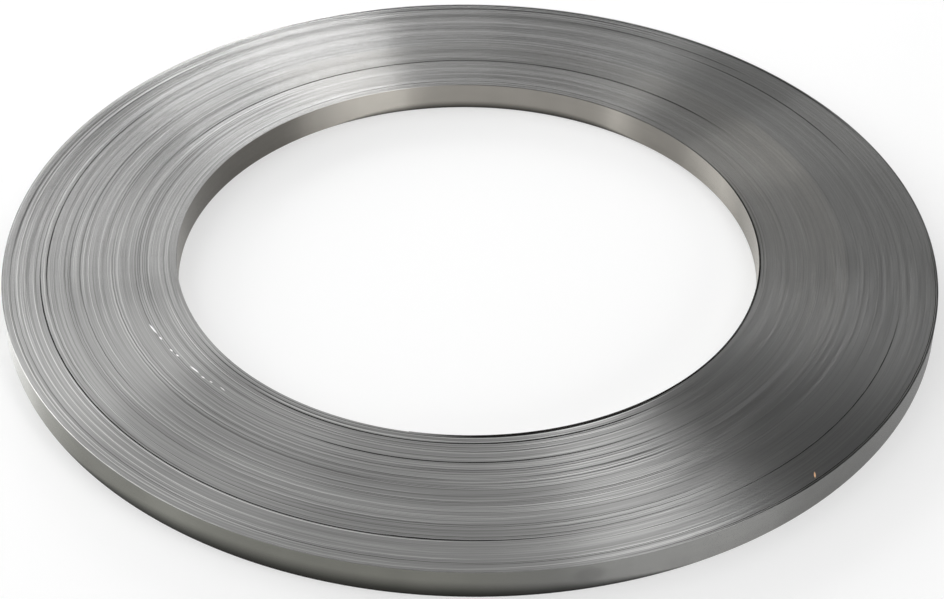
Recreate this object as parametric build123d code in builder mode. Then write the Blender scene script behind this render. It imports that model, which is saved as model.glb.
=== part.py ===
from build123d import *

import os
from collections import namedtuple
from math import cos, pi, radians, sin

# A flat coil of bright cold-rolled steel strip, ribbon wound on edge round an open bore.
#
# Every turn of the strip lies on the one before, so the coil is as tall as the strip is wide. The
# turns have crept up and down against each other in packs, which leaves shallow steps on both ends
# of the coil, and a few slack places where a dark gap runs between two packs.
#
# The frame is in millimetres: +Z is the axis of the bore, the coil lies flat on the plane z = 0,
# and the origin is the centre of the bore on that plane.

# The strip
strip_width = 20.0
strip_thickness = 0.5
edge_bevel = 0.15  # the deburred slit edge on the first and the last turn
steel_density = 7.85e-6  # kg per cubic millimetre

# The winding
bore_diameter = 400.0
slack_depth = 1.6  # how far a slack gap can be seen into
inner_tail_azimuth = 260.0  # where the strip starts in the bore, in degrees from +X
outer_tail_azimuth = 110.0  # where the strip ends on the outside
tail_ramp = 58.0  # degrees over which the wall beyond a tail comes back to its radius
tool_clearance = 2.0  # how far a cutting shape runs past the coil

# Packs of turns, from the bore outwards. turns: how many lie in the pack; lift: how far the pack
# stands above the lowest one; slack: the gap between it and the next pack outwards.
Pack = namedtuple("Pack", "turns lift slack")
packs = [
    Pack(turns=15, lift=0.45, slack=0.2),
    Pack(turns=35, lift=0.2, slack=0.0),
    Pack(turns=24, lift=0.0, slack=0.25),
    Pack(turns=26, lift=0.2, slack=0.0),
    Pack(turns=56, lift=0.4, slack=0.0),
    Pack(turns=30, lift=0.25, slack=0.55),
    Pack(turns=18, lift=0.0, slack=0.0),
    Pack(turns=14, lift=0.3, slack=0.0),
    Pack(turns=9, lift=0.1, slack=0.0),
    Pack(turns=6, lift=0.4, slack=0.0),
    Pack(turns=5, lift=0.2, slack=0.0),
]

# What follows from them
bore_radius = bore_diameter / 2
turn_count = sum(pack.turns for pack in packs)
radial_build = turn_count * strip_thickness + sum(pack.slack for pack in packs[:-1])
outer_radius = bore_radius + radial_build
coil_height = strip_width + max(pack.lift for pack in packs)


def on_circle(radius, azimuth):
    """The point at that radius and azimuth, in degrees, in the XY plane."""
    return (radius * cos(radians(azimuth)), radius * sin(radians(azimuth)))


def staircase(side):
    """The section's points along one end of the coil, from the bore outwards.

    side is 1 for the upper end and -1 for the lower one. Each pack gives a flat land, and each
    slack gap a slot between two lands.
    """
    points = []
    inner = bore_radius
    for pack, following in zip(packs, packs[1:] + [None]):
        outer = inner + pack.turns * strip_thickness
        level = pack.lift + (strip_width if side > 0 else 0.0)
        points += [(inner, level), (outer, level)]
        if pack.slack and following:
            floor = level - side * slack_depth
            points += [(outer, floor), (outer + pack.slack, floor)]
        inner = outer + pack.slack
    return bevel_ends(points, side)


def bevel_ends(points, side):
    """The same points with the corner at the bore and the one at the outer wall bevelled."""
    bore_corner, rim_corner = points[0], points[-1]
    at_bore = [
        (bore_corner[0], bore_corner[1] - side * edge_bevel),
        (bore_corner[0] + edge_bevel, bore_corner[1]),
    ]
    at_rim = [
        (rim_corner[0] - edge_bevel, rim_corner[1]),
        (rim_corner[0], rim_corner[1] - side * edge_bevel),
    ]
    return at_bore + points[1:-1] + at_rim


with BuildPart() as coil:
    # The wound body: one section with a staircase on each end, turned round the bore's axis
    with BuildSketch(Plane.XZ) as section:
        with BuildLine():
            Polyline(*staircase(1), *reversed(staircase(-1)), close=True)
        make_face()
    revolve(axis=Axis.Z)

    # The outer tail: past the strip's sheared end the wall is one turn lower, and a ramp that
    # leaves the outer wall tangentially leads down to it
    with BuildSketch(Plane.XY.offset(-tool_clearance)) as outer_step:
        step_foot = on_circle(outer_radius - strip_thickness, outer_tail_azimuth)
        step_head = on_circle(outer_radius + tool_clearance, outer_tail_azimuth)
        ramp_top = on_circle(outer_radius, outer_tail_azimuth + tail_ramp)
        ramp_head = on_circle(outer_radius + tool_clearance, outer_tail_azimuth + tail_ramp)
        ramp_middle = on_circle(outer_radius + tool_clearance, outer_tail_azimuth + tail_ramp / 2)
        along_wall = on_circle(1, outer_tail_azimuth + tail_ramp - 90)
        with BuildLine():
            TangentArc(ramp_top, step_foot, tangent=along_wall)
            Line(step_foot, step_head)
            ThreePointArc(step_head, ramp_middle, ramp_head)
            Line(ramp_head, ramp_top)
        make_face()
    extrude(amount=coil_height + 2 * tool_clearance, mode=Mode.SUBTRACT)

    # The inner tail: before the strip's start the bore's wall is the second turn
    with BuildSketch(Plane.XY.offset(-tool_clearance)) as inner_step:
        step_foot = on_circle(bore_radius + strip_thickness, inner_tail_azimuth)
        step_head = on_circle(bore_radius - tool_clearance, inner_tail_azimuth)
        ramp_top = on_circle(bore_radius, inner_tail_azimuth - tail_ramp)
        ramp_head = on_circle(bore_radius - tool_clearance, inner_tail_azimuth - tail_ramp)
        ramp_middle = on_circle(bore_radius - tool_clearance, inner_tail_azimuth - tail_ramp / 2)
        along_wall = on_circle(1, inner_tail_azimuth - tail_ramp + 90)
        with BuildLine():
            TangentArc(ramp_top, step_foot, tangent=along_wall)
            Line(step_foot, step_head)
            ThreePointArc(step_head, ramp_middle, ramp_head)
            Line(ramp_head, ramp_top)
        make_face()
    extrude(amount=coil_height + 2 * tool_clearance, mode=Mode.SUBTRACT)

coil.part.label = "strip_coil"
os.makedirs("parts", exist_ok=True)
export_step(coil.part, "parts/strip_coil.step")

strip_length = pi * (bore_radius + outer_radius) * turn_count
print("turns", turn_count, "outer diameter", 2 * outer_radius, "height", coil_height)
print("strip length in m", round(strip_length / 1000, 1))
print("strip mass in kg", round(strip_length * strip_width * strip_thickness * steel_density, 2))
print("solid mass in kg", round(coil.part.volume * steel_density, 2))
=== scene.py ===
# %% [markdown]
# # A flat coil of bright steel strip
#
# Narrow steel strip is slit from a wide cold-rolled sheet and wound, turn on turn, round an arbor.
# Taken off the arbor and laid flat it is a ring 640 mm across and only as tall as the strip is
# wide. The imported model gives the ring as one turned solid. This script winds the real strip in
# its place, gives its slit edges and its rolled faces their finishes, and lights it for the camera.

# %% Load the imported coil
import math

import bpy
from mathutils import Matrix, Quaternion, Vector


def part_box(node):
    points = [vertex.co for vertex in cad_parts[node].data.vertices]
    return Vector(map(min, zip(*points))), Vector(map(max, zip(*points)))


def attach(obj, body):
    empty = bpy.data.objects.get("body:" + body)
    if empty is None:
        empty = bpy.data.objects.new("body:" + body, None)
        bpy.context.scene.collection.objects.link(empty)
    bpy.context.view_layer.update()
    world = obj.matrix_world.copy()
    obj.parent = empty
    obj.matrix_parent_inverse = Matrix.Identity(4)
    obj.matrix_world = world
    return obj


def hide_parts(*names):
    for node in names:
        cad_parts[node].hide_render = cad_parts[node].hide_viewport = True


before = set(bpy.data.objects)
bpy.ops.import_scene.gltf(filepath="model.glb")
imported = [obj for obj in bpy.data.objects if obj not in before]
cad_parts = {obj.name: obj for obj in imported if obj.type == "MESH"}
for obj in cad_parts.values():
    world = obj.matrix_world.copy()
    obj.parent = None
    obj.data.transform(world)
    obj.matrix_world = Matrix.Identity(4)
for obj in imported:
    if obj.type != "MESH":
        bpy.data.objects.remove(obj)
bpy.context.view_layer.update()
millimetre = 0.001

# %% [markdown]
# ## Two helpers
#
# The strip is wound by a tree of nodes, and its finishes are trees of nodes too. Written out by
# hand they are long, so one function adds a node, sets its properties and fills its inputs, either
# with a value or with a link from another node. Colours are written as the sRGB hex values that a
# colour picker shows, and a second function turns them linear, which is what the shaders expect.


# %% A function that adds a node
def add(tree, kind, inputs=None, **settings):
    """Adds a node. inputs maps a socket's name or place to a value, a node or a socket."""
    node = tree.nodes.new(kind)
    for name, value in settings.items():
        setattr(node, name, value)
    for socket, value in (inputs or {}).items():
        if isinstance(value, bpy.types.Node):
            value = value.outputs[0]
        if isinstance(value, bpy.types.NodeSocket):
            tree.links.new(value, node.inputs[socket])
        else:
            node.inputs[socket].default_value = value
    return node


# %% A function for colours
def colour(hex_code):
    """The linear colour, with alpha, of an sRGB hex value such as 9a9a96."""
    levels = [int(hex_code[place:place + 2], 16) / 255 for place in (0, 2, 4)]
    linear = [x / 12.92 if x <= 0.04045 else ((x + 0.055) / 1.055) ** 2.4 for x in levels]
    return (*linear, 1.0)


print("mid grey 808080 is", round(colour("808080")[0], 3), "in linear light")

# %% [markdown]
# ## The strip and its turns
#
# A coil is known by three sizes: the strip's width, its thickness and the bore it was wound on. The
# number of turns follows from them and from the outer radius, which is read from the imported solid.
# Real turns have a little air between them, so some room is kept: the pitch from one turn to
# the next is about a hundredth more than the thickness, and the slack places use up that air.

# %% Sizes of the strip and the coil
strip_width = 20 * millimetre
strip_thickness = 0.5 * millimetre
bore_radius = 200 * millimetre
inner_end_azimuth = 260.0  # degrees from +X, where the strip starts in the bore
outer_end_azimuth = 110.0  # degrees from +X, where it ends on the rim
spare_turns = 5  # the room, in turns, that is left for air and slack

coil_low, coil_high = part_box("strip_coil")
outer_radius = min(coil_high.x, coil_high.y, -coil_low.x, -coil_low.y)
whole_turns = round((outer_radius - bore_radius) / strip_thickness) - spare_turns
turns = whole_turns + (outer_end_azimuth - inner_end_azimuth) % 360 / 360
turn_pitch = (outer_radius - bore_radius - strip_thickness) / turns
print("turns", round(turns, 3), "pitch in mm", round(turn_pitch / millimetre, 4))

# %% [markdown]
# ## How high each turn stands
#
# The strip wandered sideways as it was wound, so packs of turns stand up to half a millimetre
# proud of each other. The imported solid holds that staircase. It could be copied here as a list, but
# then a change to the solid would be missed. So one ray straight down at each turn's radius
# reads how high the turn stands. The solid's steps are sharp and a real pack's edge isn't, so
# the heights are averaged over a few turns. They become a line of points, one for each turn.

# %% Read one height for each turn
probe_azimuth = math.radians(20)  # a place with no step in either wall
lowest_true_height = -0.5 * millimetre  # below this the ray missed the land and hit a slack slot


def turn_heights():
    """How far each turn stands above the lowest one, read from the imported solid."""
    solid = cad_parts["strip_coil"]
    above = 2 * coil_high.z
    found = []
    for turn in range(whole_turns + 2):
        radius = bore_radius + strip_thickness / 2 + turn_pitch * turn
        radius = min(radius, outer_radius - strip_thickness)
        start = Vector((radius * math.cos(probe_azimuth), radius * math.sin(probe_azimuth), above))
        _, place, _, _ = solid.ray_cast(start, Vector((0, 0, -1)))
        stands = place.z - strip_width
        found.append(stands if stands > lowest_true_height else found[-1])
    return found


steps = turn_heights()
print("turns stand from", round(min(steps) / millimetre, 2), "to", round(max(steps) / millimetre, 2), "mm")

# %% Soften the steps
eased_over = 4  # turns to either side


def eased(stands, reach):
    """The same heights with each step spread over the turns within reach of it."""
    padded = [stands[0]] * reach + stands + [stands[-1]] * reach
    return [sum(padded[turn:turn + 2 * reach + 1]) / (2 * reach + 1) for turn in range(len(stands))]


heights = eased(steps, eased_over)
section = bpy.data.meshes.new("section_of_turns")
points = [(bore_radius + turn_pitch * turn, 0, height) for turn, height in enumerate(heights)]
section.from_pydata(points, [], [])
print("section:", len(section.vertices), "points, highest", round(max(heights) / millimetre, 2), "mm")

# %% [markdown]
# ## Where the winding is slack
#
# Where the tension dropped for a moment, a turn stands off the one before it over part of the way
# round, and the gap shows as a dark line. A painted line would do from far away, but a real gap
# also shows at the rim and from low down. So each gap is a place where all the turns
# outside it are pushed away. What can be pushed is limited by the air between the turns, which is
# about 1.6 mm in all at any place round the coil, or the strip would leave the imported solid's box.

# %% The slack gaps
# Each: the turn it follows, its widest opening in mm, the middle of its arc and half its arc in degrees
slack_gaps = [
    (1, 0.85, 290, 20),
    (1, 0.5, 340, 40),
    (12, 0.14, 88, 36),
    (15, 0.16, 262, 42),
    (49, 0.12, 272, 26),
    (70, 0.25, 92, 46),
    (175, 0.35, 168, 20),
    (183, 0.6, 235, 40),
    (189, 0.25, 40, 14),
    (189, 0.16, 322, 20),
    (232, 0.3, 72, 42),
    (233, 0.3, 325, 34),
]
gap_fade = 10.0  # degrees over which a gap closes at each end of its arc
print("slack gaps:", len(slack_gaps), "widest", max(gap[1] for gap in slack_gaps), "mm")

# %% [markdown]
# ## Winding the strip
#
# The coil is one strip, 390 m long. A stack of rings would be simpler, but it would have no
# ends, and its turns couldn't part or drift. A Screw modifier gives a spiral but can't change it
# from turn to turn. Geometry Nodes can: the tree takes a straight line of stations, bends it into
# a spiral, lifts it by the heights of the section, and sweeps the strip's profile along it.
# Its sizes are named inputs, so the same tree would wind any other strip.

# %% The tree and its inputs
stations_per_turn = 92
stations_at_ends = 300  # on the first and on the last turn, which are the outlines of the bore and the rim
sizes = {
    "Bore radius": bore_radius,
    "Strip width": strip_width,
    "Strip thickness": strip_thickness,
    "Turns": turns,
    "Turn pitch": turn_pitch,
    "Stations per turn": float(stations_per_turn),
    "Stations at ends": float(stations_at_ends),
    "Inner end azimuth": math.radians(inner_end_azimuth),
    "Wander": 0.15 * millimetre,
    "Pack wander": 0.16 * millimetre,
    "Highest stand": max(heights),
    "Edge roll": 0.09 * millimetre,
    "Seed": 7.0,
}
winding = bpy.data.node_groups.new("Wound strip", "GeometryNodeTree")
winding.interface.new_socket("Geometry", in_out="INPUT", socket_type="NodeSocketGeometry")
for name in sizes:
    winding.interface.new_socket(name, in_out="INPUT", socket_type="NodeSocketFloat")
winding.interface.new_socket("Geometry", in_out="OUTPUT", socket_type="NodeSocketGeometry")
given = add(winding, "NodeGroupInput").outputs
print("inputs of the tree:", ", ".join(sizes))

# %% [markdown]
# ### Stations
#
# A swept strip is as round as its stations are close. The first and the last turn are the outlines
# that the eye follows, so they get three times as many stations as the others, which only show as
# lines. The stations lie along a straight line at first, and only their count matters.

# %% Stations along the strip
at_ends = given["Stations at ends"]
inner_turns = add(winding, "ShaderNodeMath", {0: given["Turns"], 1: 2.0}, operation="SUBTRACT")
last_begins = add(
    winding, "ShaderNodeMath", {0: inner_turns, 1: given["Stations per turn"], 2: at_ends},
    operation="MULTIPLY_ADD",
)
last_begins = add(winding, "ShaderNodeMath", {0: last_begins}, operation="ROUND")
last_station = add(winding, "ShaderNodeMath", {0: last_begins, 1: at_ends}, operation="ADD")
count = add(winding, "ShaderNodeMath", {0: last_station, 1: 1.0}, operation="ADD")
line = add(winding, "GeometryNodeCurvePrimitiveLine")
line = add(winding, "GeometryNodeResampleCurve", {"Curve": line, "Count": count}, mode="COUNT")
print("stations:", round((turns - 2) * stations_per_turn) + 2 * stations_at_ends + 1)

# %% The turn and the azimuth of each station
index = add(winding, "GeometryNodeInputIndex")
first_turn = add(winding, "ShaderNodeMapRange", {"Value": index, "From Max": at_ends})
middle_turns = add(
    winding, "ShaderNodeMapRange",
    {"Value": index, "From Min": at_ends, "From Max": last_begins, "To Max": inner_turns},
)
last_turn = add(
    winding, "ShaderNodeMapRange", {"Value": index, "From Min": last_begins, "From Max": last_station}
)
turn = add(winding, "ShaderNodeMath", {0: first_turn, 1: middle_turns}, operation="ADD")
turn = add(winding, "ShaderNodeMath", {0: turn, 1: last_turn}, operation="ADD")
part_of_turn = add(winding, "ShaderNodeMath", {0: turn}, operation="FRACT")
whole_turn = add(winding, "ShaderNodeMath", {0: turn}, operation="FLOOR")
azimuth = add(
    winding, "ShaderNodeMath", {0: part_of_turn, 1: math.tau, 2: given["Inner end azimuth"]},
    operation="MULTIPLY_ADD",
)
cosine = add(winding, "ShaderNodeMath", {0: azimuth}, operation="COSINE")
sine = add(winding, "ShaderNodeMath", {0: azimuth}, operation="SINE")
print("the strip starts at azimuth", inner_end_azimuth, "and ends at", outer_end_azimuth)

# %% [markdown]
# ### Height along the strip
#
# Each station takes its turn's height from the section, run smoothly into the next turn's over one
# revolution, because a strip can't jump. Two kinds of drift come on top. Each turn wanders a
# little by itself: that is noise along the strip, so the next turn is elsewhere in it. And whole
# packs drift: that is noise over the coil's end, slow round it and quicker across it.

# %% Heights from the section
place_in_section = add(winding, "GeometryNodeInputPosition")
here = add(
    winding, "GeometryNodeSampleIndex",
    {"Geometry": given["Geometry"], "Value": place_in_section, "Index": whole_turn},
    data_type="FLOAT_VECTOR", clamp=True,
)
following_turn = add(winding, "ShaderNodeMath", {0: whole_turn, 1: 1.0}, operation="ADD")
after = add(
    winding, "GeometryNodeSampleIndex",
    {"Geometry": given["Geometry"], "Value": place_in_section, "Index": following_turn},
    data_type="FLOAT_VECTOR", clamp=True,
)
between = add(winding, "ShaderNodeMix", {"Factor": part_of_turn, 4: here, 5: after}, data_type="VECTOR")
stand = add(winding, "ShaderNodeSeparateXYZ", {0: between.outputs[1]}).outputs["Z"]
print("heights run from", round(heights[0] / millimetre, 2), "mm at the bore to",
      round(heights[-1] / millimetre, 2), "mm at the rim")

# %% The drift of turns and of packs
noise_each_turn = 1.37  # how far the strip runs through the first noise in one turn
noise_across = 0.16  # how far one turn lies from the next in the second noise

along = add(
    winding, "ShaderNodeMath", {0: turn, 1: noise_each_turn, 2: given["Seed"]}, operation="MULTIPLY_ADD"
)
single = add(
    winding, "ShaderNodeTexNoise", {"W": along, "Scale": 1.0, "Detail": 2.0, "Roughness": 0.6},
    noise_dimensions="1D",
)
single = add(winding, "ShaderNodeMath", {0: single, 1: 0.5}, operation="SUBTRACT")
across = add(winding, "ShaderNodeMath", {0: turn, 1: noise_across}, operation="MULTIPLY")
over_end = add(winding, "ShaderNodeCombineXYZ", {0: cosine, 1: sine, 2: across})
packs = add(
    winding, "ShaderNodeTexNoise", {"Vector": over_end, "W": given["Seed"], "Scale": 1.3, "Detail": 1.0},
    noise_dimensions="4D",
)
packs = add(winding, "ShaderNodeMath", {0: packs, 1: 0.5}, operation="SUBTRACT")
lift = add(winding, "ShaderNodeMath", {0: single, 1: given["Wander"], 2: stand}, operation="MULTIPLY_ADD")
lift = add(winding, "ShaderNodeMath", {0: packs, 1: given["Pack wander"], 2: lift}, operation="MULTIPLY_ADD")
lift = add(winding, "ShaderNodeClamp", {"Value": lift, "Min": 0.0, "Max": given["Highest stand"]})
print("nodes so far:", len(winding.nodes))

# %% [markdown]
# ### Radius along the strip
#
# The turns lie at even steps from the bore outwards. Then each slack gap pushes the turns outside it
# away over its arc. To keep the rim where it is, every turn is also drawn in by its share of the push:
# the turns beyond a gap use up the air between them, as they do in a real coil.

# %% The radius of each station
first_radius = add(
    winding, "ShaderNodeMath", {0: given["Strip thickness"], 1: 0.5, 2: given["Bore radius"]},
    operation="MULTIPLY_ADD",
)
radius = add(
    winding, "ShaderNodeMath", {0: turn, 1: given["Turn pitch"], 2: first_radius}, operation="MULTIPLY_ADD"
)
share = add(winding, "ShaderNodeMath", {0: turn, 1: given["Turns"]}, operation="DIVIDE")
for gap_turn, opening, middle, half_arc in slack_gaps:
    away = add(winding, "ShaderNodeMath", {0: azimuth, 1: math.radians(middle)}, operation="SUBTRACT")
    away = add(winding, "ShaderNodeMath", {0: away}, operation="COSINE")
    closed, widest = (math.cos(math.radians(a)) for a in (half_arc + gap_fade, max(half_arc - gap_fade, 0)))
    arc = add(
        winding, "ShaderNodeMapRange",
        {"Value": away, "From Min": closed, "From Max": widest, "To Max": opening * millimetre},
        interpolation_type="SMOOTHSTEP",
    )
    outside = add(winding, "ShaderNodeMath", {0: turn, 1: float(gap_turn)}, operation="GREATER_THAN")
    push = add(winding, "ShaderNodeMath", {0: outside, 1: share}, operation="SUBTRACT")
    radius = add(winding, "ShaderNodeMath", {0: push, 1: arc, 2: radius}, operation="MULTIPLY_ADD")
print("air between the turns, mm:", round((turn_pitch - strip_thickness) * turns / millimetre, 2))

# %% [markdown]
# ### Sweeping the profile
#
# The stations are moved to their places and the strip's four-cornered profile is swept along them,
# with its ends closed. Two things are kept for later from before the sweep: the length along the
# strip, which the finishes need as a map, and which corner of the profile a point came from.
# The slitting knives drag the steel a little as they part it, so one corner of each edge is rounded
# over. Four corners can't be round, so the ones on the outer face are set a little lower.

# %% The spiral and its profile
middle_height = add(
    winding, "ShaderNodeMath", {0: given["Strip width"], 1: 0.5, 2: lift}, operation="MULTIPLY_ADD"
)
x = add(winding, "ShaderNodeMath", {0: radius, 1: cosine}, operation="MULTIPLY")
y = add(winding, "ShaderNodeMath", {0: radius, 1: sine}, operation="MULTIPLY")
station = add(winding, "ShaderNodeCombineXYZ", {0: x, 1: y, 2: middle_height})
spiral = add(winding, "GeometryNodeSetPosition", {"Geometry": line, "Position": station})
spiral = add(winding, "GeometryNodeSetCurveNormal", {"Curve": spiral}, mode="Z_UP")
spiral = add(winding, "GeometryNodeCaptureAttribute", {"Geometry": spiral}, domain="POINT")
spiral.capture_items.new("FLOAT", "Length")
winding.links.new(add(winding, "GeometryNodeSplineParameter").outputs["Length"], spiral.inputs[1])
profile = add(
    winding, "GeometryNodeCurvePrimitiveQuadrilateral",
    {"Width": given["Strip thickness"], "Height": given["Strip width"]},
)
profile = add(winding, "GeometryNodeCaptureAttribute", {"Geometry": profile}, domain="POINT")
profile.capture_items.new("VECTOR", "Corner")
winding.links.new(add(winding, "GeometryNodeInputPosition").outputs[0], profile.inputs[1])
ribbon = add(
    winding, "GeometryNodeCurveToMesh",
    {"Curve": spiral.outputs[0], "Profile Curve": profile.outputs[0], "Fill Caps": True},
)
print("profile, mm:", strip_thickness / millimetre, "by", strip_width / millimetre)

# %% Edges rolled over by the slitting knives
corner = add(winding, "ShaderNodeSeparateXYZ", {0: profile.outputs[1]})
on_outer_face = add(
    winding, "ShaderNodeMath", {0: corner.outputs["X"], 1: given["Strip thickness"]}, operation="DIVIDE"
)
on_outer_face = add(winding, "ShaderNodeMath", {0: on_outer_face, 1: 0.5}, operation="ADD")
up_or_down = add(winding, "ShaderNodeMath", {0: corner.outputs["Y"]}, operation="SIGN")
roll = add(winding, "ShaderNodeMath", {0: on_outer_face, 1: given["Edge roll"]}, operation="MULTIPLY")
roll = add(winding, "ShaderNodeMath", {0: roll, 1: up_or_down}, operation="MULTIPLY")
roll = add(winding, "ShaderNodeCombineXYZ", {2: roll})
ribbon = add(winding, "GeometryNodeSetPosition", {"Geometry": ribbon, "Offset": roll})
print("edges roll over by", sizes["Edge roll"] / millimetre, "mm")

# %% [markdown]
# ### A map along the strip
#
# Everything on strip runs along it: the rolling marks, the slitter's marks, the highlights. An
# unwrapped map of a 390 m spiral is hopeless to make by hand, but the tree knows how far along the
# strip each station is. So the map is stored from that: its first axis is metres along the
# strip, its second metres round the profile. The faces are shaded smooth and the corners sharp.

# %% Store the map and the smoothing
round_profile = add(
    winding, "ShaderNodeMath", {0: corner.outputs["X"], 1: corner.outputs["Y"]}, operation="ADD"
)
strip_map = add(winding, "ShaderNodeCombineXYZ", {0: spiral.outputs[1], 1: round_profile})
ribbon = add(
    winding, "GeometryNodeStoreNamedAttribute",
    {"Geometry": ribbon, "Name": "along_strip", "Value": strip_map},
    data_type="FLOAT2", domain="CORNER",
)
sharp_fold = 0.5  # radians
fold = add(winding, "GeometryNodeInputMeshEdgeAngle")
sharp = add(winding, "ShaderNodeMath", {0: fold.outputs[0], 1: sharp_fold}, operation="GREATER_THAN")
ribbon = add(winding, "GeometryNodeSetShadeSmooth", {"Geometry": ribbon, "Shade Smooth": True}, domain="FACE")
ribbon = add(
    winding, "GeometryNodeSetShadeSmooth", {"Geometry": ribbon, "Selection": sharp, "Shade Smooth": False},
    domain="EDGE",
)
print("nodes in the winding tree:", len(winding.nodes))

# %% [markdown]
# ## Patterns that run round the coil
#
# Both finishes of the strip need the same few patterns, so each is a small function that adds it to
# a tree: where a point is round the coil, streaks that run round it, an arc of it, and a level that
# changes round it. They could be group nodes, but a function keeps the numbers next to the words.


# %% Where a point is on the coil
def polar_map(tree):
    """Sockets for a point's radius, its outward direction, its height and its place itself."""
    place = add(tree, "ShaderNodeTexCoord").outputs["Object"]
    level = add(tree, "ShaderNodeVectorMath", {0: place, 1: (1.0, 1.0, 0.0)}, operation="MULTIPLY")
    radius = add(tree, "ShaderNodeVectorMath", {0: level}, operation="LENGTH").outputs["Value"]
    outward = add(tree, "ShaderNodeVectorMath", {0: level}, operation="NORMALIZE").outputs["Vector"]
    height = add(tree, "ShaderNodeSeparateXYZ", {0: place}).outputs["Z"]
    return radius, outward, height, place


def facing(azimuth):
    """The direction of that azimuth, in degrees, as a plain vector."""
    return Vector((math.cos(math.radians(azimuth)), math.sin(math.radians(azimuth)), 0.0))


print("azimuth 90 faces", [round(part, 2) for part in facing(90)])


# %% Streaks round the coil
def streaks(tree, radius, outward, line_width, lines_round, detail, seed):
    """Noise from -0.5 to 0.5 in lines round the coil, each line_width wide, lines_round to a radian."""
    round_coil = add(tree, "ShaderNodeVectorMath", {0: outward, "Scale": lines_round}, operation="SCALE")
    across = add(tree, "ShaderNodeMath", {0: radius, 1: 1.0 / line_width, 2: seed}, operation="MULTIPLY_ADD")
    across = add(tree, "ShaderNodeCombineXYZ", {2: across})
    point = add(tree, "ShaderNodeVectorMath", {0: round_coil, 1: across}, operation="ADD")
    noise = add(
        tree, "ShaderNodeTexNoise", {"Vector": point, "Scale": 1.0, "Detail": detail, "Roughness": 0.7},
        noise_dimensions="3D",
    )
    return add(tree, "ShaderNodeMath", {0: noise, 1: 0.5}, operation="SUBTRACT")


print("a line 1 mm wide and one radian long is", round(outer_radius / millimetre), "mm long at the rim")


# %% An arc of the coil, and a level that changes round it
def arc_mask(tree, outward, middle, half_arc, level, fade=8.0):
    """A socket that has the level over an arc round the coil, and 0 elsewhere."""
    near = add(
        tree, "ShaderNodeVectorMath", {0: outward, 1: facing(middle)}, operation="DOT_PRODUCT"
    ).outputs["Value"]
    edge, full = (math.cos(math.radians(angle)) for angle in (half_arc + fade, max(half_arc - fade, 0)))
    return add(
        tree, "ShaderNodeMapRange", {"Value": near, "From Min": edge, "From Max": full, "To Max": level},
        interpolation_type="SMOOTHSTEP",
    ).outputs[0]


def level_round_coil(tree, outward, levels):
    """A socket that runs through the levels, given as (azimuth, level), round the coil."""
    parts = add(tree, "ShaderNodeSeparateXYZ", {0: outward})
    angle = add(tree, "ShaderNodeMath", {0: parts.outputs["Y"], 1: parts.outputs["X"]}, operation="ARCTAN2")
    angle = add(tree, "ShaderNodeMath", {0: angle, 1: 1 / math.tau}, operation="MULTIPLY")
    angle = add(tree, "ShaderNodeMath", {0: angle}, operation="FRACT")
    ramp = add(tree, "ShaderNodeValToRGB", {0: angle})
    stops = ramp.color_ramp.elements
    while len(stops) < len(levels):
        stops.new(0.5)
    for stop, (azimuth, level) in zip(stops, levels):
        stop.position = azimuth / 360
        stop.color = (level, level, level, 1.0)
    return ramp.outputs["Color"]


print("an arc that fades over 8 degrees fades over", round(math.radians(8) * outer_radius / millimetre), "mm")

# %% [markdown]
# ## The slit edge: one end of the whole coil
#
# The end of the coil is made of the strip's slit edges. The slitter's knives sheared them, so they
# are bare bright steel with fine marks along them, and no two turns reflect quite alike. The
# marks all run round the coil, so a lamp is drawn out across them into a sector, like the light on a
# vinyl record. A plain shiny metal would show round glints instead: the shader needs its
# anisotropy, with the strip's own map as its direction.
#
# Its tone starts from the turns themselves. Noise along the strip differs from turn to turn, and where it is
# high or low enough a turn counts as set back and is painted dark, a painted shade, or counts as proud and is
# painted bright, a painted highlight.
# Over that lie streaks on the radius and the azimuth, from one millimetre wide to twelve.

# %% The slit edge's tree, and noise from turn to turn
slit_edge = bpy.data.materials.new("slit_steel_edge")
slit_edge.use_nodes = True
edge_tree = slit_edge.node_tree
edge_tree.nodes.clear()
radius, outward, height, place = polar_map(edge_tree)
strip_map = add(edge_tree, "ShaderNodeUVMap", uv_map="along_strip")
metres_along = add(edge_tree, "ShaderNodeSeparateXYZ", {0: strip_map}).outputs["X"]


def each_turn(per_metre, detail, seed):
    """Noise from -0.5 to 0.5 that runs along the strip, so that it differs from turn to turn."""
    where = add(
        edge_tree, "ShaderNodeMath", {0: metres_along, 1: per_metre, 2: seed}, operation="MULTIPLY_ADD"
    )
    noise = add(
        edge_tree, "ShaderNodeTexNoise", {"W": where, "Scale": 1.0, "Detail": detail, "Roughness": 0.6},
        noise_dimensions="1D",
    )
    return add(edge_tree, "ShaderNodeMath", {0: noise, 1: 0.5}, operation="SUBTRACT")


turn_tone = each_turn(2.3, 2.0, 5.0)
standing_out = {"From Min": 0.18, "From Max": 0.24}  # only the peaks of a noise pass these
# Turns that count as set back get painted shade, and proud ones a painted highlight
painted_set_back_shade = add(edge_tree, "ShaderNodeMapRange", {"Value": each_turn(1.9, 0.0, 29.0), **standing_out})
painted_proud_glint = add(edge_tree, "ShaderNodeMapRange", {"Value": each_turn(2.6, 0.0, 53.0), **standing_out})
print("one turn is", round(math.tau * bore_radius, 2), "to", round(math.tau * outer_radius, 2), "m long")

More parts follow.
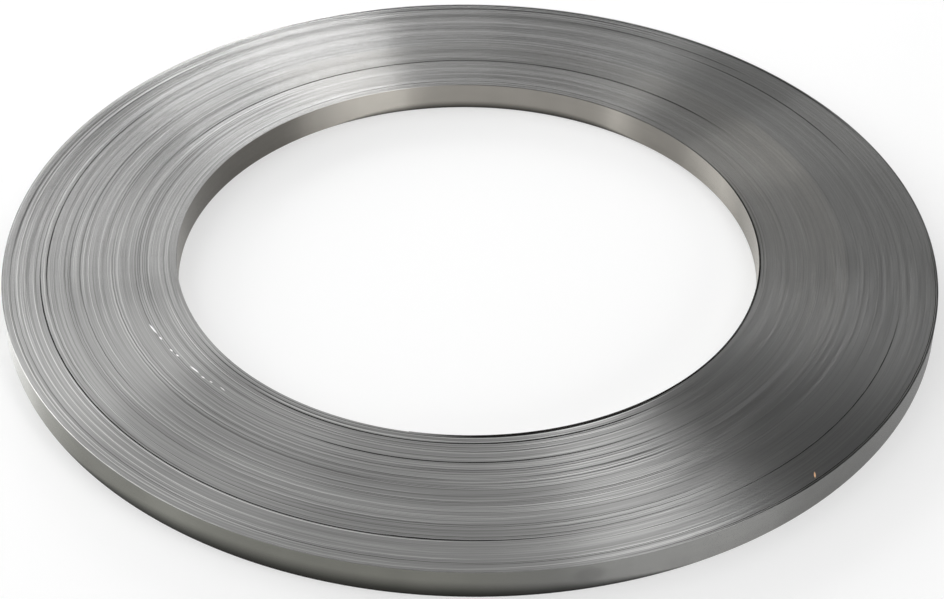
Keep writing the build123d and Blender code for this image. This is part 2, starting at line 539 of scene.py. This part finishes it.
# %% Streaks of the slit edges
# The real marks are some hundredths of a millimetre wide. The finest streaks are drawn a millimetre
# wide, about two turns, because thinner ones don't show at this size
fine = streaks(edge_tree, radius, outward, 1.1 * millimetre, 1.6, 1.0, 3.0)
uneven = streaks(edge_tree, radius, outward, 0.9 * millimetre, 1.8, 1.0, 41.0)
sway = streaks(edge_tree, radius, outward, 1.0 * millimetre, 5.0, 1.0, 23.0)
middling = streaks(edge_tree, radius, outward, 4.0 * millimetre, 1.2, 1.0, 7.0)
broad = streaks(edge_tree, radius, outward, 12.0 * millimetre, 1.0, 2.0, 11.0)
print("nodes so far:", len(edge_tree.nodes))

# %% [markdown]
# ### How strongly the turns differ
#
# Lines are clear on one side of the coil and nearly gone on another, because the light picks out their slopes
# more on some sides than on others. The lamps alone don't give enough of it, so the tone's strength changes
# round the coil too, as a painted light contrast, with one level at each listed azimuth.

# %% Strength of the turns' tone round the coil
# Azimuth, and a share of the strongest
painted_line_contrast = [
    (0, 0.26), (55, 0.28), (70, 0.60), (95, 0.50),  # clearer towards the back
    (104, 0.15), (120, 0.20),  # nearly gone in the bright sector
    (130, 0.75), (150, 0.68), (200, 0.75), (245, 0.72), (275, 0.75),  # clear all along the left
    (284, 1.0), (297, 1.0),  # strongest in the sector at the front
    (303, 0.25), (330, 0.12), (360, 0.20),  # faint on the dark right
]
strength = level_round_coil(edge_tree, outward, painted_line_contrast)
print("the turns' tone is strongest at azimuth", max(painted_line_contrast, key=lambda stop: stop[1])[0])

# %% The tone of the turns
# Each pattern and how much of the tone it makes
of_the_turns = [(turn_tone, 1.2), (painted_set_back_shade, -0.6), (painted_proud_glint, 0.6), (fine, 0.6)]
of_the_whole_end = [(middling, 0.12), (broad, 0.14)]

shade = 0.0
for pattern, weight in of_the_turns:
    shade = add(edge_tree, "ShaderNodeMath", {0: pattern, 1: weight, 2: shade}, operation="MULTIPLY_ADD")
# The painted light contrast round the coil scales the turns' tone here
shade = add(edge_tree, "ShaderNodeMath", {0: shade, 1: strength, 2: 1.0}, operation="MULTIPLY_ADD")
for pattern, weight in of_the_whole_end:
    shade = add(edge_tree, "ShaderNodeMath", {0: pattern, 1: weight, 2: shade}, operation="MULTIPLY_ADD")
print("patterns in the tone:", len(of_the_turns) + len(of_the_whole_end))

# %% [markdown]
# ### Single lines
#
# A few turns show as one clear line: dark where a gap lies beside the turn, bright where its edge stands
# proud and catches a lamp. The slack gaps make the widest of them. The rest are narrower than a pixel in the
# real coil, so they are painted into the tone at their radius and over their arc, as painted shade for a gap
# and a painted highlight for a proud edge, and coarser than the real half millimetre so that they show.
# Painted shade also darkens some of the slack gaps' own lines.

# %% Hairlines: painted shade of gaps and painted highlights of proud edges
# Each: radius and width in mm, middle of its arc and half its arc in degrees, change of tone
painted_hairlines = [
    (201.2, 3.0, 287, 19, -0.97),
    (200.7, 1.6, 335, 48, -0.90),
    (200.5, 1.3, 60, 38, -0.85),
    (203.4, 0.6, 8, 18, -0.40),
    (205.0, 0.8, 232, 18, -0.70),
    (206.2, 1.0, 95, 50, -0.75),
    (207.8, 1.0, 268, 36, -0.95),
    (215.6, 0.6, 290, 18, -0.30),
    (220.2, 0.6, 268, 18, -0.35),
    (224.8, 0.9, 272, 26, -0.85),
    (232.0, 0.6, 285, 24, -0.30),
    (235.9, 1.0, 95, 54, -0.95),
    (254.0, 0.6, 290, 16, -0.35),
    (265.8, 0.6, 290, 14, -0.35),
    (273.8, 0.6, 284, 14, -0.40),
    (285.5, 0.6, 245, 18, -0.40),
    (289.0, 0.8, 168, 22, -0.85),
    (290.8, 0.8, 140, 9, -0.60),
    (291.3, 0.6, 222, 12, -0.40),
    (293.1, 0.8, 237, 46, -0.85),
    (295.9, 0.6, 322, 20, -0.80),
    (295.9, 0.9, 40, 12, -0.85),
    (299.8, 0.7, 285, 12, -0.45),
    (303.9, 0.9, 60, 9, -0.80),
    (306.8, 1.0, 142, 12, -0.80),
    (310.4, 0.9, 152, 20, -0.65),
    (310.0, 0.9, 85, 22, -0.80),
    (312.8, 0.7, 283, 10, -0.50),
    (313.0, 0.9, 82, 18, -0.80),
    (317.9, 0.6, 305, 15, -0.40),
    (317.9, 1.3, 72, 42, -0.95),
    (319.1, 0.6, 352, 58, -0.50),
    (203.0, 0.6, 288, 22, 1.10),
    (200.3, 0.8, 112, 16, 1.30),
    (206.2, 0.5, 249, 14, 1.00),
    (210.9, 0.5, 226, 24, 1.10),
    (294.3, 0.5, 240, 30, 0.90),
    (298.0, 0.5, 208, 20, 0.80),
    (302.8, 0.5, 220, 26, 0.80),
    (306.9, 0.5, 214, 22, 0.90),
    (308.2, 0.7, 141, 10, 0.50),
    (312.8, 0.5, 232, 20, 0.80),
    (314.6, 0.7, 72, 20, 0.60),
    (315.1, 0.5, 214, 22, 0.90),
    (316.8, 0.7, 142, 12, 0.50),
    (319.2, 0.6, 222, 18, 1.20),
]
for line_radius, width, middle, half_arc, change in painted_hairlines:
    on_line = add(
        edge_tree, "ShaderNodeMath", {0: radius, 1: line_radius * millimetre, 2: width * millimetre / 2},
        operation="COMPARE",
    )
    change = arc_mask(edge_tree, outward, middle, half_arc, change)
    shade = add(edge_tree, "ShaderNodeMath", {0: on_line, 1: change, 2: shade}, operation="MULTIPLY_ADD")
darkest, brightest = 0.05, 2.4
shade = add(edge_tree, "ShaderNodeClamp", {"Value": shade, "Min": darkest, "Max": brightest})
tone = add(edge_tree, "ShaderNodeVectorMath", {0: colour("9c9c9b")[:3], "Scale": shade}, operation="SCALE")
painted_shade_lines = sum(row[4] < 0 for row in painted_hairlines)
print("hairlines:", painted_shade_lines, "dark and", len(painted_hairlines) - painted_shade_lines, "bright")

# %% [markdown]
# ### Nicks and a fleck of rust
#
# Something was dragged over the coil once and left a chain of nicks, and by the rim there is one fleck of
# rust. The nicks are real, and their white is a painted glint of their bent edges. Cutting the nicks into the
# mesh would take thousands of faces for marks a millimetre wide. Each is an oval instead: a Mapping node in
# Texture mode moves, turns and shrinks the coordinates until the oval is a circle round zero. The strip's
# underside has the same radius and azimuth, so the marks are kept to the upper end.


# %% Marks on the coil's upper end
def mark(tree, place, start, end, width, soft=0.5):
    """A socket that is 1 inside an oval mark and 0 outside. start and end are (azimuth, radius in mm)."""
    ends = [facing(azimuth) * radius * millimetre for azimuth, radius in (start, end)]
    middle, run = (ends[0] + ends[1]) / 2, ends[1] - ends[0]
    own = add(
        tree, "ShaderNodeMapping",
        {
            "Vector": place,
            "Location": middle,
            "Rotation": (0, 0, math.atan2(run.y, run.x)),
            "Scale": (run.length / 2, width * millimetre / 2, 1),
        },
        vector_type="TEXTURE",
    )
    level = add(tree, "ShaderNodeVectorMath", {0: own, 1: (1.0, 1.0, 0.0)}, operation="MULTIPLY")
    away = add(tree, "ShaderNodeVectorMath", {0: level}, operation="LENGTH").outputs["Value"]
    fading = {"Value": away, "From Min": 1.0, "From Max": 1.0 - soft}
    return add(tree, "ShaderNodeMapRange", fading).outputs[0]


# Each: start, end, and width in mm
nicks_painted_as_glints = [
    ((203.9, 229.7), (207.2, 228.0), 1.4),
    ((207.8, 227.9), (208.9, 227.4), 1.2),
    ((211.6, 226.8), (212.6, 226.4), 1.3),
    ((213.4, 225.8), (214.3, 225.3), 1.0),
    ((217.3, 224.2), (220.0, 223.3), 1.5),
    ((220.7, 224.1), (221.7, 223.7), 1.2),
    ((222.6, 222.9), (223.4, 222.5), 1.1),
    ((224.9, 221.5), (226.5, 221.9), 0.7),
]
rust_fleck = ((313.1, 312.1), (312.2, 317.0), 1.3)

# The nicks' white is a painted glint of their bent edges; the rust keeps its own colour
marks = [(nick_glint, "ffffff") for nick_glint in nicks_painted_as_glints] + [(rust_fleck, "ffc896")]
upper_end = add(edge_tree, "ShaderNodeMath", {0: height, 1: strip_width / 2}, operation="GREATER_THAN")
for shape, hex_code in marks:
    marked = mark(edge_tree, place, *shape)
    marked = add(edge_tree, "ShaderNodeMath", {0: marked, 1: upper_end}, operation="MULTIPLY")
    tone = add(edge_tree, "ShaderNodeMix", {"Factor": marked, 6: tone, 7: colour(hex_code)}, data_type="RGBA")
    tone = tone.outputs[2]
rust = marked  # the last mark is the rust
print("nicks:", len(nicks_painted_as_glints), "and one fleck of rust at azimuth", rust_fleck[0][0])

# %% [markdown]
# ### The lean of each edge
#
# No slit edge is quite level, and each leans its own way, so a lamp lights some turns and not their
# neighbours. The lean is a small slope added to the normal, which costs no geometry: outwards
# by the uneven streaks, along the strip by the sway. The rim's last edge is rounded outwards and the
# bore's first one inwards, because nothing holds them up from that side.

# %% Lean the normal
uneven_lean = 0.25
sway_lean = 0.10
rim_lean, bore_lean = 0.3, -0.4
last_edge = 0.6 * millimetre

lean_out = add(edge_tree, "ShaderNodeMath", {0: uneven, 1: uneven_lean}, operation="MULTIPLY")
at_rim = add(edge_tree, "ShaderNodeMath", {0: radius, 1: outer_radius - last_edge}, operation="GREATER_THAN")
lean_out = add(edge_tree, "ShaderNodeMath", {0: at_rim, 1: rim_lean, 2: lean_out}, operation="MULTIPLY_ADD")
at_bore = add(edge_tree, "ShaderNodeMath", {0: radius, 1: bore_radius + last_edge}, operation="LESS_THAN")
lean_out = add(edge_tree, "ShaderNodeMath", {0: at_bore, 1: bore_lean, 2: lean_out}, operation="MULTIPLY_ADD")
lean_along = add(edge_tree, "ShaderNodeMath", {0: sway, 1: sway_lean}, operation="MULTIPLY")
along = add(edge_tree, "ShaderNodeVectorMath", {0: (0.0, 0.0, 1.0), 1: outward}, operation="CROSS_PRODUCT")
lean_out = add(edge_tree, "ShaderNodeVectorMath", {0: outward, "Scale": lean_out}, operation="SCALE")
lean_along = add(edge_tree, "ShaderNodeVectorMath", {0: along, "Scale": lean_along}, operation="SCALE")
lean = add(edge_tree, "ShaderNodeVectorMath", {0: lean_out, 1: lean_along}, operation="ADD")
lean = add(
    edge_tree, "ShaderNodeVectorTransform", {0: lean},
    vector_type="VECTOR", convert_from="OBJECT", convert_to="WORLD",
)
normal = add(edge_tree, "ShaderNodeNewGeometry").outputs["Normal"]
normal = add(edge_tree, "ShaderNodeVectorMath", {0: normal, 1: lean}, operation="ADD")
normal = add(edge_tree, "ShaderNodeVectorMath", {0: normal}, operation="NORMALIZE")
print("an uneven edge leans up to", round(math.degrees(math.atan(uneven_lean / 2)), 1), "degrees")

# %% The slit edge's shader
# Bare sheared steel: metallic, mid grey, and half matt from the knives' marks. Full anisotropy, turned
# by a quarter, draws a highlight out across the marks. Rust isn't a metal, so the metallic value drops there
bare = add(edge_tree, "ShaderNodeMath", {0: 1.0, 1: rust}, operation="SUBTRACT")
roughness = add(edge_tree, "ShaderNodeMath", {0: broad, 1: 0.05, 2: 0.35}, operation="MULTIPLY_ADD")
shader = add(
    edge_tree, "ShaderNodeBsdfPrincipled",
    {
        "Base Color": tone,
        "Metallic": bare,
        "Roughness": roughness,
        "Normal": normal,
        "Anisotropic": 1.0,
        "Anisotropic Rotation": 0.25,
        "Tangent": add(edge_tree, "ShaderNodeTangent", direction_type="UV_MAP", uv_map="along_strip"),
    },
)
add(edge_tree, "ShaderNodeOutputMaterial", {"Surface": shader})
print("material:", slit_edge.name, len(edge_tree.nodes), "nodes")

# %% [markdown]
# ## The rolled face: the wall of the bore and the outer wall
#
# Only two turns show their faces, the first in the bore and the last on the outside. Cold rolling
# between polished rolls leaves them smooth and bright with faint marks along them, and a thin film
# of oil keeps off rust. So the shader is a metal again, smoother than the slit edge, and again
# drawn out across the marks.
#
# Steel this bright is as light or dark as what it faces. The photographed walls have light and dark
# stretches, an olive tint on the left and a dark lower edge, most of them probably the room and the floor's
# shadow in the steel. The stretches are painted reflections of the room, and the dark lower edge is a painted
# reflection of the floor's shadow; the soft lamps of this scene stand where the walls hardly face them. So
# these tones are painted into the steel's own colour, which is a shortcut: they stay where they are when the
# light or the view changes. For neutral walls, give both lists of painted reflection one level of 0.4 and the
# painted shadow on the lower edge a darkest level of 1.

# %% The rolled face's tree and its colour
rolled_face = bpy.data.materials.new("cold_rolled_steel_face")
rolled_face.use_nodes = True
face_tree = rolled_face.node_tree
face_tree.nodes.clear()
radius, outward, height, place = polar_map(face_tree)
middle_radius = (bore_radius + outer_radius) / 2
outside = add(face_tree, "ShaderNodeMath", {0: radius, 1: middle_radius}, operation="GREATER_THAN")
inside = add(face_tree, "ShaderNodeMath", {0: 1.0, 1: outside}, operation="SUBTRACT")
olive = arc_mask(face_tree, outward, 243, 30, 1.0, 12.0)
tone = colour("838381")
for where, tint in ((olive, "8a8a83"), (inside, "8d8a84")):
    tone = add(face_tree, "ShaderNodeMix", {"Factor": where, 6: tone, 7: colour(tint)}, data_type="RGBA")
    tone = tone.outputs[2]
print("the bore's wall and the outer wall part at radius", round(middle_radius / millimetre, 1), "mm")

# %% Painted reflections: light and dark stretches round the walls
# Azimuth, and a share of the lightest place
outer_wall_painted_reflection = [
    (0, 0.36), (190, 0.36),  # the side that the photograph doesn't show
    (197, 1.0), (208, 0.70), (214, 0.41),  # bright at the left end
    (222, 0.34), (236, 0.36), (248, 0.34), (275, 0.36),  # even along the front left
    (290, 0.42), (300, 0.42), (318, 0.36), (332, 0.33),  # a little lighter at the front
    (344, 0.20), (360, 0.30),  # dark at the right end
]
bore_wall_painted_reflection = [
    (0, 0.44), (15, 0.42), (24, 0.56), (34, 0.42), (46, 0.40),  # one soft light stretch on the right
    (52, 0.46), (57, 0.60), (62, 0.50),  # a narrow light one at the back right
    (90, 0.54), (98, 0.56), (104, 0.68), (115, 0.62),  # the lightest at the back
    (124, 0.44), (133, 0.28), (150, 0.22), (164, 0.26), (175, 0.36),  # dark at the back left
    (360, 0.44),
]
brightest_painted_reflection = 2.5  # times the steel's colour

outer_painted_reflection = level_round_coil(face_tree, outward, outer_wall_painted_reflection)
bore_painted_reflection = level_round_coil(face_tree, outward, bore_wall_painted_reflection)
painted_reflection_mix = {"Factor": outside, 6: bore_painted_reflection, 7: outer_painted_reflection}
painted_reflection_mix = add(face_tree, "ShaderNodeMix", painted_reflection_mix, data_type="RGBA")
painted_reflection = add(face_tree, "ShaderNodeMath", {0: painted_reflection_mix.outputs[2], 1: brightest_painted_reflection}, operation="MULTIPLY")
tone = add(face_tree, "ShaderNodeVectorMath", {0: tone, "Scale": painted_reflection}, operation="SCALE")
print("the outer wall is lightest at azimuth", max(outer_wall_painted_reflection, key=lambda stop: stop[1])[0],
      "and the bore's at", max(bore_wall_painted_reflection, key=lambda stop: stop[1])[0])

# %% The dark lower edge, a painted reflection of the floor's shadow
# How far up it reaches: a trace along the whole edge, and more at the front left and in the bore
darkest_painted_shadow = 0.14
trace = 0.3 * millimetre

outer_reach = arc_mask(face_tree, outward, 256, 22, 14.0 * millimetre, 20.0)
outer_reach = add(face_tree, "ShaderNodeMath", {0: outer_reach, 1: outside}, operation="MULTIPLY")
bore_reach = arc_mask(face_tree, outward, 85, 24, 7.0 * millimetre, 16.0)
bore_reach = add(face_tree, "ShaderNodeMath", {0: bore_reach, 1: inside}, operation="MULTIPLY")
reach = add(face_tree, "ShaderNodeMath", {0: outer_reach, 1: bore_reach}, operation="ADD")
reach = add(face_tree, "ShaderNodeMath", {0: reach, 1: trace}, operation="ADD")
above_floor = add(
    face_tree, "ShaderNodeMapRange", {"Value": height, "From Min": 0.0, "From Max": reach},
    interpolation_type="SMOOTHSTEP",
)
painted_floor_shadow = add(face_tree, "ShaderNodeMapRange", {"Value": above_floor, "To Min": darkest_painted_shadow})
print("the lower edge falls to", darkest_painted_shadow, "of the wall's tone")

# %% One smudge at the front
smudge_azimuth = 283.4
smudge_height = 11.5 * millimetre
smudge_place = facing(smudge_azimuth) * outer_radius + Vector((0, 0, smudge_height))
smudge_size = Vector((13, 6, 8)) * millimetre

smudge = add(
    face_tree, "ShaderNodeMapping",
    {
        "Vector": place,
        "Location": smudge_place,
        "Rotation": (0.0, 0.0, math.radians(smudge_azimuth - 270)),
        "Scale": smudge_size,
    },
    vector_type="TEXTURE",
)
smudge = add(face_tree, "ShaderNodeVectorMath", {0: smudge}, operation="LENGTH").outputs["Value"]
smudge = add(
    face_tree, "ShaderNodeMapRange", {"Value": smudge, "From Min": 0.4, "From Max": 1.0, "To Min": 0.82},
    interpolation_type="SMOOTHSTEP",
)
print("smudge at", [round(part / millimetre, 1) for part in smudge_place], "mm")

# %% Rolling marks and blotches of oil
# Real rolling marks are a few hundredths of a millimetre wide. These are drawn 0.7 mm wide, so that
# they show. The blotches are about 22 mm across
rolling_mark = millimetre / 1.5
blotch = 1 / 45
marks = (0.0, 0.0, 1 / rolling_mark)
marks = add(face_tree, "ShaderNodeVectorMath", {0: place, 1: marks}, operation="MULTIPLY")
marks = add(face_tree, "ShaderNodeVectorMath", {0: outward, 1: marks}, operation="ADD")
marks = add(face_tree, "ShaderNodeTexNoise", {"Vector": marks, "Scale": 1.0, "Detail": 2.0})
blotches = add(face_tree, "ShaderNodeTexNoise", {"Vector": place, "Scale": 1 / blotch, "Detail": 3.0})
wall_patterns = [(marks, 0.14), (blotches, 0.22)]  # each and how far it changes the tone
finish_and_painted_shadow = 1 - sum(weight for _, weight in wall_patterns) / 2
for pattern, weight in wall_patterns:
    finish_and_painted_shadow = add(face_tree, "ShaderNodeMath", {0: pattern, 1: weight, 2: finish_and_painted_shadow}, operation="MULTIPLY_ADD")
# The painted shadow on the lower edge and the smudge darken the tone here
for darkening in (painted_floor_shadow, smudge):
    finish_and_painted_shadow = add(face_tree, "ShaderNodeMath", {0: finish_and_painted_shadow, 1: darkening}, operation="MULTIPLY")
tone = add(face_tree, "ShaderNodeVectorMath", {0: tone, "Scale": finish_and_painted_shadow}, operation="SCALE")
print("rolling marks", round(rolling_mark / millimetre, 2), "mm, blotches", round(blotch / millimetre), "mm")

# %% The rolled face's shader
# Cold-rolled steel: metallic, smoother than the slit edge, drawn out across the rolling marks
shader = add(
    face_tree, "ShaderNodeBsdfPrincipled",
    {
        "Base Color": tone,
        "Metallic": 1.0,
        "Roughness": 0.27,
        "Anisotropic": 1.0,
        "Anisotropic Rotation": 0.25,
        "Tangent": add(face_tree, "ShaderNodeTangent", direction_type="UV_MAP", uv_map="along_strip"),
    },
)
add(face_tree, "ShaderNodeOutputMaterial", {"Surface": shader})
print("material:", rolled_face.name, len(face_tree.nodes), "nodes")

# %% [markdown]
# ## The wound strip as a plain mesh
#
# Now that both finishes exist, the tree can end: every face gets the rolled steel, and then the ones
# that look up or down get the slit edge. The tree runs as a modifier on the section's points. The
# library wants plain meshes, because a modifier could give another result in another
# place, so the result is copied to a mesh and the modifier goes. The strip then takes the place of the
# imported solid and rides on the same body.

# %% Give the strip its two finishes
facing_up = 0.7  # the normal's upward part, past which a face is a slit edge

ribbon = add(winding, "GeometryNodeRealizeInstances", {"Geometry": ribbon})
ribbon = add(winding, "GeometryNodeSetMaterial", {"Geometry": ribbon, "Material": rolled_face})
face_normal = add(winding, "ShaderNodeSeparateXYZ", {0: add(winding, "GeometryNodeInputNormal")})
upright = add(winding, "ShaderNodeMath", {0: face_normal.outputs["Z"]}, operation="ABSOLUTE")
level = add(winding, "ShaderNodeMath", {0: upright, 1: facing_up}, operation="GREATER_THAN")
ribbon = add(
    winding, "GeometryNodeSetMaterial", {"Geometry": ribbon, "Selection": level, "Material": slit_edge}
)
add(winding, "NodeGroupOutput", {"Geometry": ribbon})
print("the winding tree has", len(winding.nodes), "nodes")

# %% Wind the strip
maker = bpy.data.objects.new("winding_maker", section)
bpy.context.scene.collection.objects.link(maker)
modifier = maker.modifiers.new("Wound strip", "NODES")
modifier.node_group = winding
for item in winding.interface.items_tree:
    if item.in_out == "INPUT" and item.name in sizes:
        modifier[item.identifier] = sizes[item.name]
bpy.context.view_layer.update()
evaluated = maker.evaluated_get(bpy.context.evaluated_depsgraph_get())
mesh = bpy.data.meshes.new_from_object(evaluated)
mesh.name = "wound_strip"
bpy.data.objects.remove(maker)
mesh.calc_loop_triangles()
print("wound strip:", len(mesh.vertices), "vertices,", len(mesh.loop_triangles), "triangles,",
      [m.name for m in mesh.materials])

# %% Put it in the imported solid's place
strip = bpy.data.objects.new("wound_strip", mesh)
bpy.context.scene.collection.objects.link(strip)
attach(strip, "root")
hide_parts("strip_coil")
print("replaced: strip_coil")

# %% [markdown]
# ## The floor
#
# The coil lies on white paper that runs out of sight. Paper is matt, so it is a diffuse colour, and
# it takes the coil's soft shadow. Lit paper is never as white as the page of a catalogue, and
# more light would burn out the steel, so the floor also glows a little, but only for the
# camera and for reflections in the metal. Past the ring of lamps no light falls on the paper, and
# the glow rises to make up for it, so that the far floor is white in low views too.

# %% The floor's paper
paper = bpy.data.materials.new("white_paper")
paper.use_nodes = True
paper_tree = paper.node_tree
paper_tree.nodes.clear()
matt = add(paper_tree, "ShaderNodeBsdfDiffuse", {"Color": colour("cccccc")})
ray = add(paper_tree, "ShaderNodeLightPath").outputs
seen = {0: ray["Is Camera Ray"], 1: ray["Is Glossy Ray"]}
seen = add(paper_tree, "ShaderNodeMath", seen, operation="MAXIMUM")
away = add(paper_tree, "ShaderNodeTexCoord").outputs["Object"]
away = add(paper_tree, "ShaderNodeVectorMath", {0: away}, operation="LENGTH").outputs["Value"]
glow = add(
    paper_tree, "ShaderNodeMapRange",
    {"Value": away, "From Min": 2.2, "From Max": 3.2, "To Min": 0.42, "To Max": 0.95},
)
seen = add(paper_tree, "ShaderNodeMath", {0: seen, 1: glow}, operation="MULTIPLY")
white = add(paper_tree, "ShaderNodeEmission", {"Color": (1, 1, 1, 1), "Strength": seen})
both = add(paper_tree, "ShaderNodeAddShader", {0: matt, 1: white})
add(paper_tree, "ShaderNodeOutputMaterial", {"Surface": both})
print("material:", paper.name, len(paper_tree.nodes), "nodes")

# %% The floor itself
floor_reach = 20.0
corners = [(floor_reach * x, floor_reach * y, 0) for x, y in ((-1, -1), (1, -1), (1, 1), (-1, 1))]
floor_mesh = bpy.data.meshes.new("floor")
floor_mesh.from_pydata(corners, [], [(0, 1, 2, 3)])
floor_mesh.materials.append(paper)
floor = bpy.data.objects.new("floor", floor_mesh)
bpy.context.scene.collection.objects.link(floor)
print("floor:", 2 * floor_reach, "m square")

# %% [markdown]
# ## The lamps
#
# Brushed rings show where the lamps are: a lamp lights two sectors of the coil's end, opposite each other,
# and a low lamp lights narrower ones. One big overhead softbox would leave the end an even grey. So a ring of
# softboxes stands low round the coil, strongest at the back, where the brightest sector of the coil points,
# and weaker ones above fill in the rest. Their places and strengths were fitted to the sectors on the
# photographed coil and then changed. All of them scale with one level, at which white paper lying on the
# floor would render as white.


# %% A softbox
lamp_distance = 3.0
light_level = 0.92


def softbox(name, azimuth, elevation, across, up, strength):
    """A soft lamp that faces the coil. All four angles are in degrees, as the coil sees the lamp.

    strength is the brightness of its surface, where white paper in full light has 1.
    """
    wide = 2 * lamp_distance * math.tan(math.radians(across) / 2)
    tall = 2 * lamp_distance * math.tan(math.radians(up) / 2)
    lamp = bpy.data.lights.new(name, "AREA")
    lamp.shape = "RECTANGLE"
    lamp.size, lamp.size_y = wide, tall
    lamp.energy = strength * light_level * math.pi * wide * tall
    holder = bpy.data.objects.new(name, lamp)
    bpy.context.scene.collection.objects.link(holder)
    place = facing(azimuth) * math.cos(math.radians(elevation))
    place.z = math.sin(math.radians(elevation))
    holder.location = place * lamp_distance
    holder.rotation_euler = (-place).to_track_quat("-Z", "Y").to_euler()


print("lamps stand", lamp_distance, "m away, at a level of", light_level)

# %% The softboxes
# Each: name, azimuth, elevation, angle across, angle up, strength
softboxes = [
    ("low_right", 61, 12.5, 29, 23, 0.52),
    ("low_back_right", 83.5, 12.5, 11.0, 23, 3.3),
    ("low_back_edge", 91.8, 12.5, 5.6, 23, 4.6),
    ("low_back", 98.6, 12.5, 7.4, 23, 14.0),
    ("low_back_fade", 105.4, 12.5, 6.4, 23, 11.0),
    ("low_back_left", 127.0, 12.5, 37, 23, 4.9),
    ("low_left", 162, 12.5, 31, 23, 7.26),
    ("narrow_left", 209, 8.5, 10, 15, 5.0),
    ("low_front_right", 316, 12.5, 43, 23, 6.05),
    ("mid_back", 115, 37, 40, 26, 0.68),
    ("mid_left", 159, 37, 30, 26, 1.45),
    ("mid_far_left", 201.5, 37, 37.5, 26, 0.97),
    ("high_back", 85, 58, 26.5, 16, 1.72),
    ("high_left", 180, 58, 42, 16, 1.41),
    ("high_front_right", 328, 54, 26, 26, 3.1),
    ("overhead", 90, 90, 46, 46, 0.64),
    ("overhead_right", 0, 76, 14.5, 20, 0.74),
]
on_paper = 0.0
for name, azimuth, elevation, across, up, strength in softboxes:
    softbox(name, azimuth, elevation, across, up, strength)
    seen_size = math.radians(across) * math.radians(up)
    on_paper += strength * light_level * seen_size * math.sin(math.radians(elevation)) / math.pi
print("softboxes:", len(softboxes), "which bring white paper to about", round(on_paper, 2))

# %% The air of the studio
world = bpy.data.worlds.new("studio")
bpy.context.scene.world = world
world.use_nodes = True
world.node_tree.nodes.clear()
air = add(world.node_tree, "ShaderNodeBackground", {"Color": (1, 1, 1, 1), "Strength": 0.04 * light_level})
add(world.node_tree, "ShaderNodeOutputWorld", {"Surface": air})
print("the air adds", round(0.04 * light_level, 3))

# %% [markdown]
# ## The camera
#
# The coil is a circle, and a circle's picture tells how it was seen: how flat the ellipse is gives the
# height of the eye, and how much the near half is larger than the far one gives its distance. The
# camera was fitted to both outlines of the coil that way. It stands 1.6 m away and looks down at
# 37 degrees. Both outlines fit only with the lens shifted a little to the side, as in a picture
# that was cropped, and with the camera rolled by less than a degree.

# %% The camera
frame_width = 944  # pixels
shift = 80  # pixels
roll = -0.764  # degrees
aim = Vector((-0.0508, -0.0386, 0))

camera_data = bpy.data.cameras.new("camera")
camera_data.lens = 86.2
camera_data.sensor_width = 36.0
camera_data.shift_x = shift / frame_width
camera = bpy.data.objects.new("camera", camera_data)
bpy.context.scene.collection.objects.link(camera)
bpy.context.scene.camera = camera
camera.location = (0, -1.2532, 0.9563)
looking = (aim - camera.location).to_track_quat("-Z", "Y")
camera.rotation_mode = "QUATERNION"
camera.rotation_quaternion = looking @ Quaternion((0, 0, 1), math.radians(roll))
bpy.context.scene.view_settings.view_transform = "Standard"
print("camera", round(camera.location.length, 2), "m from the coil's middle")
